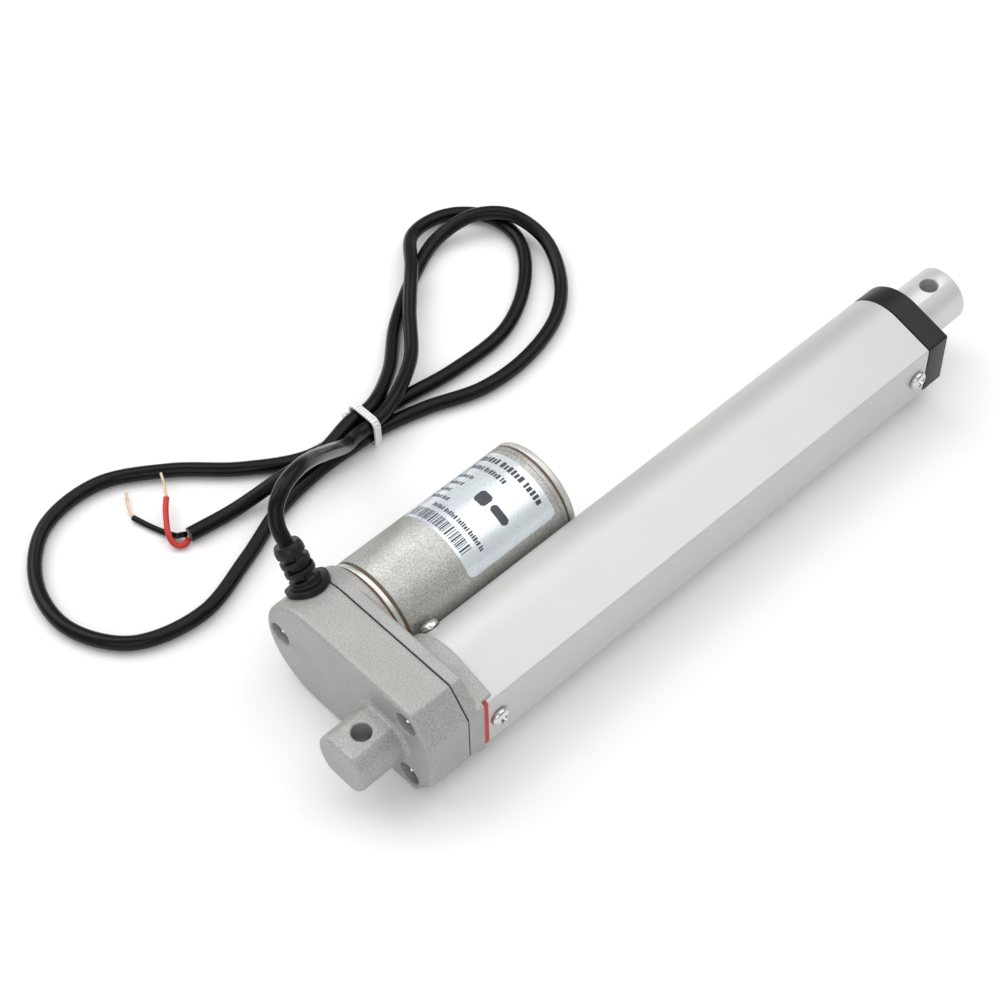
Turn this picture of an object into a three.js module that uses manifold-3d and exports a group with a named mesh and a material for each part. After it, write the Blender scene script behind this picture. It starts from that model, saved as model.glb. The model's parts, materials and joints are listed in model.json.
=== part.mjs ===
// Linear actuator: a 12 V motor beside an aluminium tube, a die-cast gear case behind both,
// and a push rod that a lead screw drives out of the tube.
// Millimetres. X runs from the rear clevis to the rod eye, Y towards the motor, Z up.
// Every piece is drawn about the lead-screw axis, with x = 0 at the rear pin hole.
// place() then stands the whole group on z = 0, with its box centred on the origin.

import * as THREE from "three";
import { mergeVertices } from "three/addons/utils/BufferGeometryUtils.js";
import Module from "manifold-3d";

const wasm = await Module();
wasm.setup();

// ---------------------------------------------------------------- driving dimensions
const stroke = 150;              // travel of the push rod
const pinSpacing = stroke + 105; // rear hole to front hole, fully retracted
const pinHole = 6.4;             // both cross holes, for an M6 pin
const gap = 0.3;                 // clearance between neighbouring pieces
const fit = 0.25;                // radial clearance of pieces that sit in bores

const rodRadius = 10;
const rodEnd = pinSpacing + 8.6;
const clevisEnd = -9;            // rear face of the clevis
const clevisHalfHeight = 8.5;    // flats on the round clevis

const caseRadius = 20;           // half height of the gear case, radius of its motor end
const motorY = 34.5;             // motor axis, beside the lead screw
const coverRear = 8.7;           // rear face of the rear cover
const split = 24.5;              // middle of the joint between the two castings
const caseRidgeY = -12;          // where the flat top turns into the chamfer
const caseSideY = -19.8;         // flat outer side
const caseSideHalf = 9.5;        // half height of the flat outer side
const caseWall = 2.6;
const housingFront = 29;         // front face of the housing beside the tube
const lobeFront = 31.4;          // front face of the housing behind the motor
const collarFront = 35;          // end of the lip around the tube
const shoulder = 30.7;           // face that the tube gasket sits on

const tubeRadius = 15.6;         // round side of the tube, about the rod axis
const tubeSideY = -19.55;        // flat outer side of the tube
const tubeSideHalf = 10.1;
const tubeWall = 2.4;
const tubeStart = 32.5;
const tubeEnd = 232;
const capFront = 241.6;

const motorRadius = 18.5;
const motorFront = 32.5;         // front plate of the motor, against its gasket
const canStart = 34.9;
const canEnd = 101.2;
const motorEnd = 104.3;

const gearModule = 1;
const pinionTeeth = 9;
const idlerWheelTeeth = 23;
const idlerPinionTeeth = 15;
const screwGearTeeth = 22;
const idlerY = motorY - gearModule * (pinionTeeth + idlerWheelTeeth) / 2;

const screwSideX = 36.5;         // screw through the flat side, into the housing
const screwRoundX = 39.4;        // its two fellows on the round side, clear of the lip
const screwFrontX = 227;         // row of screws that hold the front cap
const upperScrewAngle = 33;      // degrees above and below the motor side

const cordRadius = 2.5;
const wireRadius = 1;
const tieX = 90;                 // the cable tie around the folded cord
const tieY = 102;

// ---------------------------------------------------------------- helpers
const radians = THREE.MathUtils.degToRad;

// Local (x, y, z) of a drawn section become world (Y, Z, X).
const sectionToX = new THREE.Matrix4().makeBasis(
  new THREE.Vector3(0, 1, 0), new THREE.Vector3(0, 0, 1), new THREE.Vector3(1, 0, 0));

// The turning axis of a lathe profile, local Y, becomes world X.
const latheToX = new THREE.Matrix4().makeBasis(
  new THREE.Vector3(0, 0, 1), new THREE.Vector3(1, 0, 0), new THREE.Vector3(0, 1, 0));

function signedVolume(geometry) {
  const position = geometry.attributes.position;
  const index = geometry.index;
  const corner = [new THREE.Vector3(), new THREE.Vector3(), new THREE.Vector3()];
  let volume = 0;
  for (let i = 0; i < index.count; i += 3) {
    for (let k = 0; k < 3; k += 1) {
      corner[k].fromBufferAttribute(position, index.getX(i + k));
    }
    volume += corner[0].dot(corner[1].cross(corner[2])) / 6;
  }
  return volume;
}

// Keep positions only, weld the corners and make the faces look outwards.
function closed(geometry) {
  geometry.deleteAttribute("normal");
  geometry.deleteAttribute("uv");
  const welded = mergeVertices(geometry, 1e-4);
  if (signedVolume(welded) < 0) {
    const index = welded.index;
    for (let i = 0; i < index.count; i += 3) {
      const second = index.getX(i + 1);
      index.setX(i + 1, index.getX(i + 2));
      index.setX(i + 2, second);
    }
  }
  return welded;
}

function solid(geometry) {
  const welded = closed(geometry);
  return new wasm.Manifold(new wasm.Mesh({
    numProp: 3,
    vertProperties: Float32Array.from(welded.attributes.position.array),
    triVerts: Uint32Array.from(welded.index.array),
  }));
}

function toGeometry(manifold) {
  const mesh = manifold.getMesh();
  const geometry = new THREE.BufferGeometry();
  geometry.setAttribute("position", new THREE.BufferAttribute(mesh.vertProperties.slice(), 3));
  geometry.setIndex(new THREE.BufferAttribute(mesh.triVerts.slice(), 1));
  return geometry;
}

const join = (first, ...others) => others.reduce((sum, other) => sum.add(other), first);
const cut = (first, ...others) => others.reduce((sum, other) => sum.subtract(other), first);

// A section drawn in (y, z), pushed along X from one place to another.
function prism(shape, from, to, options = {}) {
  const geometry = new THREE.ExtrudeGeometry(shape, {
    depth: to - from, bevelEnabled: false, curveSegments: 12, ...options });
  geometry.applyMatrix4(sectionToX);
  geometry.translate(from, 0, 0);
  return solid(geometry);
}

// The same with both end edges rounded; the ends stay at from and to.
function roundedPrism(shape, from, to, edge, curveSegments = 12) {
  const bevel = { bevelEnabled: true, bevelSize: edge, bevelOffset: -edge, bevelThickness: edge,
    bevelSegments: 2, curveSegments };
  return prism(shape, from + edge, to - edge, bevel);
}

// A profile of [radius, x] pairs turned about a line along X through (y, z).
function turned(profile, y = 0, z = 0, sides = 24) {
  const points = profile.map(([radius, x]) => new THREE.Vector2(radius, x));
  const geometry = new THREE.LatheGeometry(points, sides);
  geometry.applyMatrix4(latheToX);
  geometry.translate(0, y, z);
  return solid(geometry);
}

function rod(radius, from, to, y = 0, z = 0, sides = 24) {
  return turned([[0, from], [radius, from], [radius, to], [0, to]], y, z, sides);
}

function ring(inner, outer, from, to, y = 0, z = 0, sides = 24) {
  return turned([[inner, from], [outer, from], [outer, to], [inner, to], [inner, from]], y, z, sides);
}

function box(min, max) {
  const size = max.map((value, i) => value - min[i]);
  const geometry = new THREE.BoxGeometry(...size);
  geometry.translate(...max.map((value, i) => (value + min[i]) / 2));
  return solid(geometry);
}

// A turned profile of [radius, distance] pairs that starts at point and grows along direction.
function turnedAlong(profile, point, direction, sides = 20) {
  const points = profile.map(([radius, distance]) => new THREE.Vector2(radius, distance));
  const geometry = new THREE.LatheGeometry(points, sides);
  const turn = new THREE.Quaternion().setFromUnitVectors(
    new THREE.Vector3(0, 1, 0), new THREE.Vector3(...direction).normalize());
  geometry.applyQuaternion(turn);
  geometry.translate(...point);
  return solid(geometry);
}

function pinAlong(radius, length, point, direction, sides = 20) {
  return turnedAlong([[0, 0], [radius, 0], [radius, length], [0, length]], point, direction, sides);
}

const group = new THREE.Group();

function add(name, manifold, colour, roughness, metalness) {
  const material = new THREE.MeshStandardMaterial({ color: colour, roughness, metalness });
  const mesh = new THREE.Mesh(toGeometry(manifold), material);
  mesh.name = name;
  group.add(mesh);
  return mesh;
}

// ---------------------------------------------------------------- outlines in (y, z)

// Gear case: round motor end, flat top and bottom, chamfers, flat outer side.
function caseOutline(inset = 0) {
  const radius = caseRadius - inset;
  const ridge = caseRidgeY + inset * 0.5;
  const side = caseSideY + inset;
  const half = caseSideHalf - inset * 0.4;
  const shape = new THREE.Shape();
  shape.moveTo(ridge, -radius);
  shape.lineTo(motorY, -radius);
  shape.absarc(motorY, 0, radius, radians(-90), radians(90), false);
  shape.lineTo(ridge, radius);
  shape.lineTo(side, half);
  shape.lineTo(side, -half);
  shape.closePath();
  return shape;
}

// Tube: an arc about the rod axis, and straight flanks to the corners of the flat outer side.
function tubeOutline(offset = 0) {
  const radius = tubeRadius + offset;
  const side = tubeSideY - offset;
  const half = tubeSideHalf + offset * 0.5;
  const corner = Math.atan2(half, side);
  const tangent = corner - Math.acos(radius / Math.hypot(side, half));
  const shape = new THREE.Shape();
  shape.moveTo(side, -half);
  shape.lineTo(radius * Math.cos(-tangent), radius * Math.sin(-tangent));
  shape.absarc(0, 0, radius, -tangent, tangent, false);
  shape.lineTo(side, half);
  shape.closePath();
  return shape;
}

// Trapezoid teeth, a little thin so that the pairs turn freely.
function gearOutline(teeth, phase = 0) {
  const pitch = gearModule * teeth / 2;
  const tip = pitch + 0.8 * gearModule;
  const root = pitch - 1.15 * gearModule;
  const step = 2 * Math.PI / teeth;
  const shape = new THREE.Shape();
  const corners = [[root, -0.30], [tip, -0.11], [tip, 0.11], [root, 0.30]];
  for (let tooth = 0; tooth < teeth; tooth += 1) {
    corners.forEach(([radius, turn], i) => {
      const angle = phase + (tooth + turn) * step;
      const point = [radius * Math.cos(angle), radius * Math.sin(angle)];
      if (tooth === 0 && i === 0) {
        shape.moveTo(...point);
      } else {
        shape.lineTo(...point);
      }
    });
  }
  shape.closePath();
  return shape;
}

function gear(teeth, phase, from, to, y) {
  return prism(gearOutline(teeth, phase), from, to).translate([0, y, 0]);
}

// ---------------------------------------------------------------- gear case
const coverScrews = [[48.3, 0], [-9.5, 13.2], [-9.5, -13.2]];
const coverScrewSeat = 12.6;     // bottom of the counterbores
const cavityRear = 14;           // inner face of the rear wall
const caseColour = 0xa9a9a4;

// Outer shape of one casting between two planes; only the end away from the joint is rounded.
function caseBlock(from, to, edge, roundedEnd) {
  const reach = 6;
  const start = roundedEnd === "rear" ? from : from - reach;
  const end = roundedEnd === "rear" ? to + reach : to;
  const block = roundedPrism(caseOutline(), start, end, edge);
  const keep = box([from - 0.001, -100, -100], [to + 0.001, 100, 100]);
  return block.intersect(keep);
}

function rearCover() {
  const face = split - 0.25 - gap;
  const clevis = roundedPrism(clevisOutline(), clevisEnd, coverRear + 3, 1.2, 10);
  let body = join(caseBlock(coverRear, face, 1.4, "rear"), clevis);
  let cavity = prism(caseOutline(caseWall), cavityRear, face + 1);
  for (const [y, z] of coverScrews) {
    cavity = cavity.subtract(rod(4, coverRear, face + 2, y, z));
  }
  cavity = cavity.subtract(rod(7.6, coverRear, 15));
  cavity = cavity.subtract(rod(4.2, coverRear, 15.0, idlerY));
  body = body.subtract(cavity);
  for (const [y, z] of coverScrews) {
    body = cut(body,
      rod(4.2, coverRear - 1, coverScrewSeat, y, z),
      rod(1.8, coverRear, face + 1, y, z, 16));
  }
  body = cut(body, rod(5 + fit, 11.4, 16), rod(2 + fit, 11.4, 16, idlerY, 0, 16));
  const pin = pinAlong(pinHole / 2, 40, [0, 0, -20], [0, 0, 1], 24);
  return cut(body, pin, grommetBore());
}

// A round bar with flats on top and bottom.
function clevisOutline() {
  const turn = Math.asin(clevisHalfHeight / rodRadius);
  const shape = new THREE.Shape();
  shape.absarc(0, 0, rodRadius, -turn, turn, false);
  shape.absarc(0, 0, rodRadius, Math.PI - turn, Math.PI + turn, false);
  shape.closePath();
  return shape;
}

function caseGasket() {
  const seal = cut(
    prism(caseOutline(0.25), split - 0.25, split + 0.25),
    prism(caseOutline(caseWall), split - 1, split + 1));
  const pads = coverScrews.map(([y, z]) => rod(3.7, split - 0.25, split + 0.25, y, z));
  const holes = coverScrews.map(([y, z]) => rod(1.9, split - 1, split + 1, y, z, 16));
  return cut(join(seal, ...pads), ...holes);
}

function frontHousing() {
  const face = split + 0.25 + gap;
  const lobe = new THREE.Shape();
  lobe.absarc(motorY, 0, caseRadius, 0, 2 * Math.PI, false);
  let body = caseBlock(face, housingFront, 0.8, "front");
  body = join(body, roundedPrism(lobe, housingFront - 3, lobeFront, 0.6, 24));
  // Lip around the tube, open on the flat side and beside the motor.
  const collar = prism(tubeOutline(1.3), housingFront - 1, collarFront);
  body = cut(join(body, collar),
    prism(tubeOutline(gap), shoulder, collarFront + 1),
    box([shoulder, -40, -30], [collarFront + 1, tubeSideY + 1.2, 30]),
    box([face - 1, -40, -30], [collarFront + 1, caseSideY, 30]));
  // Spigot inside the tube.
  body = join(body, prism(tubeOutline(-tubeWall - gap), housingFront - 1, 43));
  body = cut(body,
    rod(motorRadius + 0.4, lobeFront, 60, motorY, 0, 48),
    rod(11 + fit, housingFront + 0.2, 44),
    rod(6, face - 1, 40),
    rod(6 + fit, face - 1, lobeFront + 1, motorY),
    rod(2 + fit, face - 1, 28.6, idlerY, 0, 16));
  for (const [y, z] of coverScrews) {
    body = body.subtract(rod(1.8, face - 1, y > 0 ? 30.4 : 28.6, y, z, 16));
  }
  for (const z of [-12.5, 12.5]) {
    body = body.subtract(rod(1.8, face - 1, lobeFront + 1, motorY, z, 16));
  }
  for (const screw of rearTubeScrews) {
    body = body.subtract(screwHole(screw, 1.8));
  }
  return body;
}

// ---------------------------------------------------------------- tube, cap and their screws

// Where a tube screw's head sits, the way it points outwards, and the length of its shank.
function tubeScrew(x, angle) {
  if (angle === 180) {
    return { seat: [x, tubeSideY - gap, 0], out: [0, -1, 0], length: 6 };
  }
  const turn = radians(angle);
  const radius = tubeRadius + gap;
  return {
    seat: [x, radius * Math.cos(turn), radius * Math.sin(turn)],
    out: [0, Math.cos(turn), Math.sin(turn)],
    length: 3.6,
  };
}

const rearTubeScrews = [
  tubeScrew(screwSideX, 180),
  tubeScrew(screwRoundX, upperScrewAngle),
  tubeScrew(screwRoundX, -upperScrewAngle),
];
const frontTubeScrews = [tubeScrew(screwFrontX, 180), tubeScrew(screwFrontX, -upperScrewAngle)];

function screwHole(screw, radius) {
  const start = screw.seat.map((value, i) => value - screw.out[i] * (screw.length + gap));
  return pinAlong(radius, 12, start, screw.out, 16);
}

// Pan head and plain shank in one turned profile.
function panScrew(screw) {
  const start = screw.seat.map((value, i) => value - screw.out[i] * screw.length);
  const top = screw.length;
  return turnedAlong([[0, 0], [1.5, 0], [1.5, top], [3.3, top], [3.3, top + 1.1], [2.6, top + 2.0],
    [1.2, top + 2.3], [0, top + 2.3]], start, screw.out, 16);
}

function outerTube() {
  const shape = tubeOutline();
  let body = prism(shape, tubeStart, tubeEnd, { curveSegments: 24 });
  body = body.subtract(prism(tubeOutline(-tubeWall), tubeStart - 1, tubeEnd + 1, { curveSegments: 24 }));
  for (const screw of [...rearTubeScrews, ...frontTubeScrews]) {
    body = body.subtract(screwHole(screw, 1.8));
  }
  return body;
}

function tubeGasket() {
  return cut(
    prism(tubeOutline(-0.1), shoulder + gap, tubeStart - gap),
    prism(tubeOutline(-tubeWall), shoulder, tubeStart));
}

const bushSeat = 222;            // inner end of the cap's spigot
const wiperSeat = 238.5;

function frontCap() {
  let body = roundedPrism(tubeOutline(), tubeEnd + gap - 3, capFront, 0.5);
  body = body.intersect(box([tubeEnd + gap, -50, -50], [capFront + 1, 50, 50]));
  body = join(body, prism(tubeOutline(-tubeWall - gap), bushSeat, tubeEnd + 2));
  body = cut(body,
    rod(rodRadius + 0.35, bushSeat - 1, capFront + 1, 0, 0, 32),
    rod(12.1, bushSeat - 1, 233, 0, 0, 32),
    rod(12.4, wiperSeat, capFront + 1, 0, 0, 32));
  for (const screw of frontTubeScrews) {
    body = body.subtract(screwHole(screw, 1.8));
  }
  return body;
}

// ---------------------------------------------------------------- screw, nut and rod
const nutStart = 46;
const rodStart = 58.3;
const rodBore = 7;
const rodBoreEnd = 241;

function leadScrew() {
  return turned([[0, 11.8], [3, 11.8], [3, 16], [4, 16], [4, 37.2], [6, 37.2], [6, 39], [4.2, 39.4],
    [4.2, 43], [4.9, 43.8], [4.9, 212], [4.1, 213], [0, 213]], 0, 0, 20);
}

function travelNut() {
  return cut(
    turned([[0, nutStart], [11.8, nutStart], [12.7, nutStart + 1], [12.7, 65.5], [11.8, 66.5], [0, 66.5]]),
    rod(5.25, nutStart - 1, 60),
    rod(rodRadius + fit, rodStart - gap, 68));
}

function crossHole() {
  return pinAlong(pinHole / 2, 30, [pinSpacing, 0, -15], [0, 0, 1], 24);
}

function pushRod() {
  const tube = turned([[rodBore, rodStart], [rodRadius, rodStart], [rodRadius, rodEnd - 0.6],
    [rodRadius - 0.6, rodEnd], [rodBore, rodEnd], [rodBore, rodStart]], 0, 0, 40);
  return tube.subtract(crossHole());
}

function rodPlug() {
  return rod(rodBore - fit, rodBoreEnd, rodEnd - 0.2, 0, 0, 24).subtract(crossHole());
}

// ---------------------------------------------------------------- motor
const magnetSpan = 130;          // degrees of arc of each magnet

function motorCan() {
  return turned([[16.9, canStart], [17.9, canStart], [motorRadius, canStart + 0.5],
    [motorRadius, canEnd - 0.5], [17.9, canEnd], [16.9, canEnd], [16.9, canStart]], motorY, 0, 40);
}

function motorFrontPlate() {
  const plate = turned([[0, 29.8], [6, 29.8], [6, motorFront], [17.9, motorFront],
    [motorRadius, motorFront + 0.5], [motorRadius, canStart - gap], [0, canStart - gap]], motorY, 0, 40);
  const holes = [-12.5, 12.5].map((z) => rod(1.8, motorFront - 1, canStart, motorY, z, 16));
  return cut(plate, rod(3 + fit, 29, canStart, motorY), ...holes);
}

function motorGasket() {
  const holes = [-12.5, 12.5].map((z) => rod(1.9, 31, 33, motorY, z, 16));
  return cut(ring(6.4, motorRadius - 0.1, lobeFront + gap, motorFront - gap, motorY, 0, 40), ...holes);
}

function motorRearCap() {
  return cut(
    turned([[0, canEnd + gap], [motorRadius, canEnd + gap], [motorRadius, motorEnd - 1.2],
      [motorRadius - 1.2, motorEnd], [0, motorEnd]], motorY, 0, 40),
    rod(4 + fit, canEnd, motorEnd - 0.8, motorY));
}

function magnet(middle) {
  const shape = new THREE.Shape();
  const half = magnetSpan / 2;
  shape.absarc(motorY, 0, 16.6, radians(middle - half), radians(middle + half), false);
  shape.absarc(motorY, 0, 13.4, radians(middle + half), radians(middle - half), true);
  shape.closePath();
  return prism(shape, 46, 80, { curveSegments: 10 });
}

function armature() {
  return cut(
    turned([[0, 44], [8.5, 44], [11, 46], [11, 49], [12.6, 49], [12.6, 77], [11, 77], [11, 80],
      [8.5, 82], [0, 82]], motorY, 0, 24),
    rod(1.5 + fit, 40, 90, motorY, 0, 16));
}

function brush(side) {
  const near = motorY + side * (5 + gap);
  const far = motorY + side * 10;
  return box([86, Math.min(near, far), -2], [91, Math.max(near, far), 2]);
}

// ---------------------------------------------------------------- limit switches
const switchRear = 54;
const switchPlaces = { rear: switchRear, front: switchRear + stroke + 6 };
const stripY = -16.9;            // outer face of the strip, near the flat side of the tube

function switchBody(x) {
  const block = box([x - 6, stripY + 0.8 + gap, -3], [x + 6, -14, 3]);
  return block.subtract(pinAlong(1.05, 3, [x, -15.5, 0], [0, 1, 0], 12));
}

function switchPlunger(x) {
  return turnedAlong([[0, 0], [0.8, 0], [0.8, 1.2], [0.5, 1.4], [0, 1.4]], [x, -14.6, 0], [0, 1, 0], 12);
}

// ---------------------------------------------------------------- cord with its grommet, wires and tie
const grommetX = 20;
const grommetAngle = radians(55);
const grommetOut = [0, Math.cos(grommetAngle), Math.sin(grommetAngle)];
const grommetEnd = 36;           // distance of its outer end from the motor axis

// A point at a distance from the motor axis, on the grommet's own axis.
function onGrommet(distance) {
  return [grommetX, motorY + grommetOut[1] * distance, grommetOut[2] * distance];
}

function grommetBore() {
  return pinAlong(3.1, 8, onGrommet(15.5), grommetOut, 20);
}

function grommet() {
  const flange = pinAlong(7.3, 5, onGrommet(18), grommetOut, 28);
  const shell = ring(caseRadius + gap, caseRadius + 2.4, grommetX - 9, grommetX + 9, motorY, 0, 64);
  const profile = [[0, 0], [2.8, 0], [2.8, 4.4], [4.9, 4.4], [4.9, 7.2]];
  for (let groove = 0; groove < 3; groove += 1) {
    const at = 7.2 + groove * 3.4;
    profile.push([3.5, at], [3.5, at + 1.5], [4.9, at + 1.5], [4.8, at + 3.4]);
  }
  profile.push([4.6, grommetEnd - 16.6], [0, grommetEnd - 16.6]);
  const body = turnedAlong(profile, onGrommet(16.6), grommetOut, 20);
  return join(flange.intersect(shell), body);
}

// The lead, 1 m long: out of the grommet and down to the tie, right loop, left loop, second right
// loop, and the stripped end. [x, y, height above the surface].
const cordRoute = [
  [20, 55.33, 49.74], [20.3, 58.4, 54.1], [22.6, 61.4, 58.2], [28, 64, 61.2], [36, 67, 60.2],
  [44.3, 71, 54.4], [52, 75.6, 46.2], [59.3, 80.6, 37.4], [66, 85.8, 28.4], [71.8, 91, 20],
  [77, 95.3, 13.4], [83, 98.5, 9.9], [90.5, 99.3, 9.2], [98, 100.4, 9.1], [106.5, 104, 8.7],
  [121, 113.5, 7.2], [135, 129.5, 7.6], [149, 144, 8.3], [162, 158, 5.4], [175, 160, 3.4],
  [184, 156, 2.7], [190.5, 146.5, 2.6], [189.5, 131.5, 2.8], [177, 115.5, 2.7], [156, 103.5, 2.7],
  [130, 102, 2.7], [109, 104.5, 2.9], [95, 105, 3.7], [85, 105, 4.1], [69, 107.5, 2.7], [50, 119, 2.7],
  [32, 135.5, 2.7], [11, 147.5, 2.7], [-12, 145, 2.7], [-27.5, 128.5, 2.7], [-31, 107.5, 2.7],
  [-20, 88.5, 2.7], [3, 82, 2.7], [27, 89, 2.7], [49, 97.5, 2.7], [69, 100.5, 2.9], [84.5, 99.5, 4.2],
  [95, 99.5, 3.3], [112, 96, 2.7], [132, 89, 2.7], [153, 89, 2.7], [174, 96, 2.7], [188, 109, 2.8],
  [195, 124.5, 5.3], [192.5, 139, 8.1], [183, 148.5, 7.5], [168, 151.5, 4], [152, 145.5, 2.8],
  [130, 131.5, 2.9], [112, 115, 5.4], [95, 105, 9.2], [86, 104.8, 9.3], [71, 102, 8.3], [55, 104, 6.8],
  [37, 107, 3], [20, 109.5, 2.7],
];
const redRoute = [[19.3, 109.2, 1.5], [17.3, 108.4, 1.4], [15.3, 109, 1.5], [14.3, 111, 2.2],
  [15, 114, 3.6], [17.8, 118.5, 4], [21, 122.9, 3.9], [23.6, 125.7, 4.4]];
const redTip = [[23.8, 126, 4.45], [26.4, 130.4, 4.9], [28.4, 134.5, 5.2]];
const blackRoute = [[18.8, 109.8, 3.7], [18.1, 111.2, 2.8], [17.3, 113, 1.4], [15.8, 116, 1.2],
  [14, 120.9, 1.2], [12.8, 125, 1.2], [11.8, 128.9, 1.2]];
const blackTip = [[11.8, 129.25, 1.2], [13.3, 133.4, 1.4], [16.3, 138.3, 1.7]];

function curveOf(route) {
  const points = route.map(([x, y, height]) => new THREE.Vector3(x, y, height - caseRadius));
  return new THREE.CatmullRomCurve3(points, false, "centripetal");
}

function tubeAlong(route, radius, sides, steps) {
  const section = new THREE.Shape();
  for (let side = 0; side < sides; side += 1) {
    const angle = 2 * Math.PI * side / sides;
    const point = [radius * Math.cos(angle), radius * Math.sin(angle)];
    if (side === 0) {
      section.moveTo(...point);
    } else {
      section.lineTo(...point);
    }
  }
  section.closePath();
  return solid(new THREE.ExtrudeGeometry(section, { steps, extrudePath: curveOf(route) }));
}

function cableTie() {
  const half = 5.9;
  const band = 1.1;
  const middle = 6.6 - caseRadius;
  const width = 2.6;
  const headWidth = 4.6;
  const outside = box([tieX - width / 2, tieY - half - band, middle - half - 0.7],
    [tieX + width / 2, tieY + half + band, middle + half + band]);
  const inside = box([tieX - width, tieY - half, middle - half + 0.3],
    [tieX + width, tieY + half, middle + half]);
  const head = box([tieX - headWidth / 2, tieY + half, -caseRadius + 1],
    [tieX + headWidth / 2, tieY + half + 4, -caseRadius + 6.4]);
  return cut(join(outside, head), inside);
}

// ---------------------------------------------------------------- assembly
const steel = 0xc9c9c6;
const plated = 0xd2d2cf;
const aluminium = 0xcfcfcb;
const brass = 0xb59a55;
const blackPlastic = 0x1c1c1c;

add("rear_cover", rearCover(), caseColour, 0.62, 0.35);
add("case_gasket", caseGasket(), 0x151515, 0.8, 0);
add("front_housing", frontHousing(), caseColour, 0.62, 0.35);
coverScrews.forEach(([y, z], i) => {
  const end = y > 0 ? 30 : 28.2;
  const profile = [[0, 10.4], [2.0, 10.4], [3.2, 11.1], [3.2, coverScrewSeat - 0.2],
    [1.5, coverScrewSeat - 0.2], [1.5, end], [0, end]];
  add(`cover_screw_${i + 1}`, turned(profile, y, z, 16), plated, 0.3, 0.95);
});

add("outer_tube", outerTube(), aluminium, 0.35, 0.85);
add("tube_gasket", tubeGasket(), 0xb3211d, 0.6, 0);
add("front_cap", frontCap(), blackPlastic, 0.45, 0);
add("rod_guide_bush", ring(rodRadius + 0.15, 11.85, bushSeat + 0.6, 232.7, 0, 0, 32), brass, 0.4, 0.8);
add("rod_wiper", turned([[10.15, 240.6], [10.15, 239.9], [10.7, wiperSeat + 0.3], [12.1, wiperSeat + 0.3],
  [12.1, 240.6], [10.15, 240.6]], 0, 0, 32), 0x161616, 0.7, 0);
rearTubeScrews.forEach((screw, i) => {
  add(`tube_screw_${i + 1}`, panScrew(screw), plated, 0.25, 0.95);
});
frontTubeScrews.forEach((screw, i) => {
  add(`cap_screw_${i + 1}`, panScrew(screw), plated, 0.25, 0.95);
});

add("lead_screw", leadScrew(), steel, 0.3, 0.95);
const screwGear = gear(screwGearTeeth, Math.PI / screwGearTeeth, 20.3, 23.6, 0);
add("screw_gear", screwGear.subtract(rod(4 + fit, 19, 25)), 0x8f8f8c, 0.4, 0.9);
add("screw_rear_bush", ring(3 + fit, 5, 11.7, 14.8), brass, 0.4, 0.8);
add("bearing_outer_ring", ring(8.6, 11, 29.6, 36.6, 0, 0, 28), steel, 0.2, 0.95);
add("bearing_inner_ring", ring(4 + fit, 6.4, 29.6, 36.6, 0, 0, 24), steel, 0.2, 0.95);
add("bearing_retainer", ring(7.2, 11, 37.2, 38.6, 0, 0, 28), steel, 0.4, 0.9);
add("travel_nut", travelNut(), 0xe9e6dc, 0.5, 0);
add("push_rod", pushRod(), aluminium, 0.35, 0.85);
add("rod_plug", rodPlug(), aluminium, 0.4, 0.85);

add("idler_gear", cut(
  join(
    gear(idlerWheelTeeth, 0, 15.4, 19.4, idlerY),
    gear(idlerPinionTeeth, radians(180), 19, 23.8, idlerY)),
  rod(2 + fit, 15, 25, idlerY, 0, 16)), 0x8f8f8c, 0.4, 0.9);
add("idler_pin", rod(2, 11.7, 28.3, idlerY, 0, 16), steel, 0.25, 0.95);
const pinionPhase = radians(180) + Math.PI / pinionTeeth;
add("motor_pinion", gear(pinionTeeth, pinionPhase, 15.4, 19.6, motorY)
  .subtract(rod(1.5 + fit, 14, 21, motorY, 0, 16)), brass, 0.35, 0.85);

add("motor_gasket", motorGasket(), 0x6d2a20, 0.7, 0);
add("motor_front_plate", motorFrontPlate(), 0xb9bdb4, 0.4, 0.8);
add("motor_can", motorCan(), 0xa6a6a2, 0.5, 0.6);
add("motor_rear_cap", motorRearCap(), 0xb4b6b0, 0.4, 0.8);
add("magnet_upper", magnet(90), 0x3a3a3c, 0.7, 0.2);
add("magnet_lower", magnet(-90), 0x3a3a3c, 0.7, 0.2);
add("motor_shaft", rod(1.5, 14.6, 103, motorY, 0, 16), steel, 0.2, 0.95);
add("armature", armature(), 0x8a4a24, 0.5, 0.5);
add("commutator", ring(1.5 + fit, 5, 84, 93, motorY, 0, 20), 0xb87333, 0.35, 0.9);
add("brush_inner", brush(-1), 0x2a2a2a, 0.7, 0.2);
add("brush_outer", brush(1), 0x2a2a2a, 0.7, 0.2);
add("brush_plate", ring(5, 16.6, 94, 96, motorY, 0, 28), 0x3b2a1c, 0.6, 0);
add("motor_front_bush", ring(1.5 + fit, 3, 30, 34.3, motorY, 0, 20), brass, 0.4, 0.8);
add("motor_rear_bush", ring(1.5 + fit, 4, 99.6, 103.2, motorY, 0, 20), brass, 0.4, 0.8);
[-12.5, 12.5].forEach((z, i) => {
  const profile = [[0, 22.9], [2.7, 22.9], [2.7, 24.75], [1.5, 24.75], [1.5, 34.4], [0, 34.4]];
  add(`motor_screw_${i + 1}`, turned(profile, motorY, z, 16), plated, 0.3, 0.95);
});

add("switch_strip", box([46, stripY, -4], [218, stripY + 0.8, 4]), 0x1f5a34, 0.6, 0);
for (const [place, x] of Object.entries(switchPlaces)) {
  add(`limit_switch_${place}`, switchBody(x), 0x202020, 0.5, 0);
  add(`switch_plunger_${place}`, switchPlunger(x), 0xb02020, 0.5, 0);
}

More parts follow.
